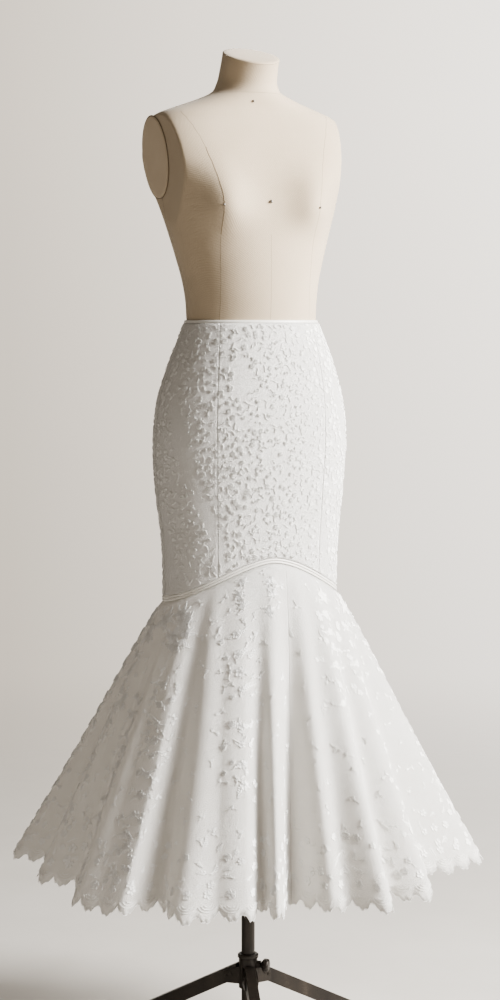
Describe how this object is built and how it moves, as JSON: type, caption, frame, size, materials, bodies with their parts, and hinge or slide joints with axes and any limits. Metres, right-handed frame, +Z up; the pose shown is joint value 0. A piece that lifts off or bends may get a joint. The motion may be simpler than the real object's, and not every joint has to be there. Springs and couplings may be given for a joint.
{
  "type": "mermaid wedding skirt on a dress form",
  "caption": "Ivory lace mermaid wedding skirt with a flared scalloped flounce, shown on a limbless linen dress form with a height-adjustable three-legged metal stand.",
  "frame": {"origin": "on the floor under the pole, which is the middle of the object's footprint", "axes": "+Z up along the pole, -Y is the front that the form faces, +X is the form's left side"},
  "size_m": [0.818, 0.8437, 1.8896],
  "materials": {
    "ivory_lace": "corded lace over satin, semi-sheer below the piping",
    "ivory_piping": "satin cord",
    "cream_linen": "plain woven linen",
    "tan_linen": "plain woven linen, darker",
    "base_board": "plain board",
    "dark_metal": "dark brown satin paint",
    "foot_rubber": "matte",
    "zip_coil": "nylon coil",
    "zip_metal": "ivory enamel"
  },
  "bodies": {
    "stand": {"stand_hub": "dark_metal", "stand_leg_1": "dark_metal", "stand_leg_2": "dark_metal", "stand_leg_3": "dark_metal", "stand_foot_1": "foot_rubber", "stand_foot_2": "foot_rubber", "stand_foot_3": "foot_rubber"},
    "pole": {"stand_pole": "dark_metal"},
    "form": {"waist_binding": "ivory_piping", "skirt_front": "ivory_lace", "skirt_side_left": "ivory_lace", "skirt_side_right": "ivory_lace", "skirt_back_left": "ivory_lace", "skirt_back_right": "ivory_lace", "piping_upper": "ivory_piping", "piping_lower": "ivory_piping", "flounce_front_left": "ivory_lace", "flounce_front_right": "ivory_lace", "flounce_back_left": "ivory_lace", "flounce_back_right": "ivory_lace", "zip_coil": "zip_coil", "zip_slider": "zip_metal", "form_torso": "cream_linen", "form_neck_cap": "cream_linen", "form_arm_plate_left": "tan_linen", "form_arm_plate_right": "tan_linen", "form_base_board": "base_board"},
    "zip_pull": {"zip_pull": "zip_metal"},
    "knob": {"stand_knob": "dark_metal"}
  },
  "joints": [
    {"name": "height_slide", "type": "slide", "parent": "stand", "child": "pole", "axis": [0, 0, 1], "range_m": [-0.08, 0.07]},
    {"name": "form_swivel", "type": "hinge", "parent": "pole", "child": "form", "pos_m": [0, 0, 1.06], "axis": [0, 0, 1], "continuous": true},
    {"name": "pull_flip", "type": "hinge", "parent": "form", "child": "zip_pull", "pos_m": [0, 0.08702, 1.3835], "axis": [1, 0, 0], "range_deg": [0, 150]},
    {"name": "knob_turn", "type": "hinge", "parent": "stand", "child": "knob", "pos_m": [0, 0, 0.204], "axis": [0.788, -0.6157, 0], "continuous": true}
  ]
}
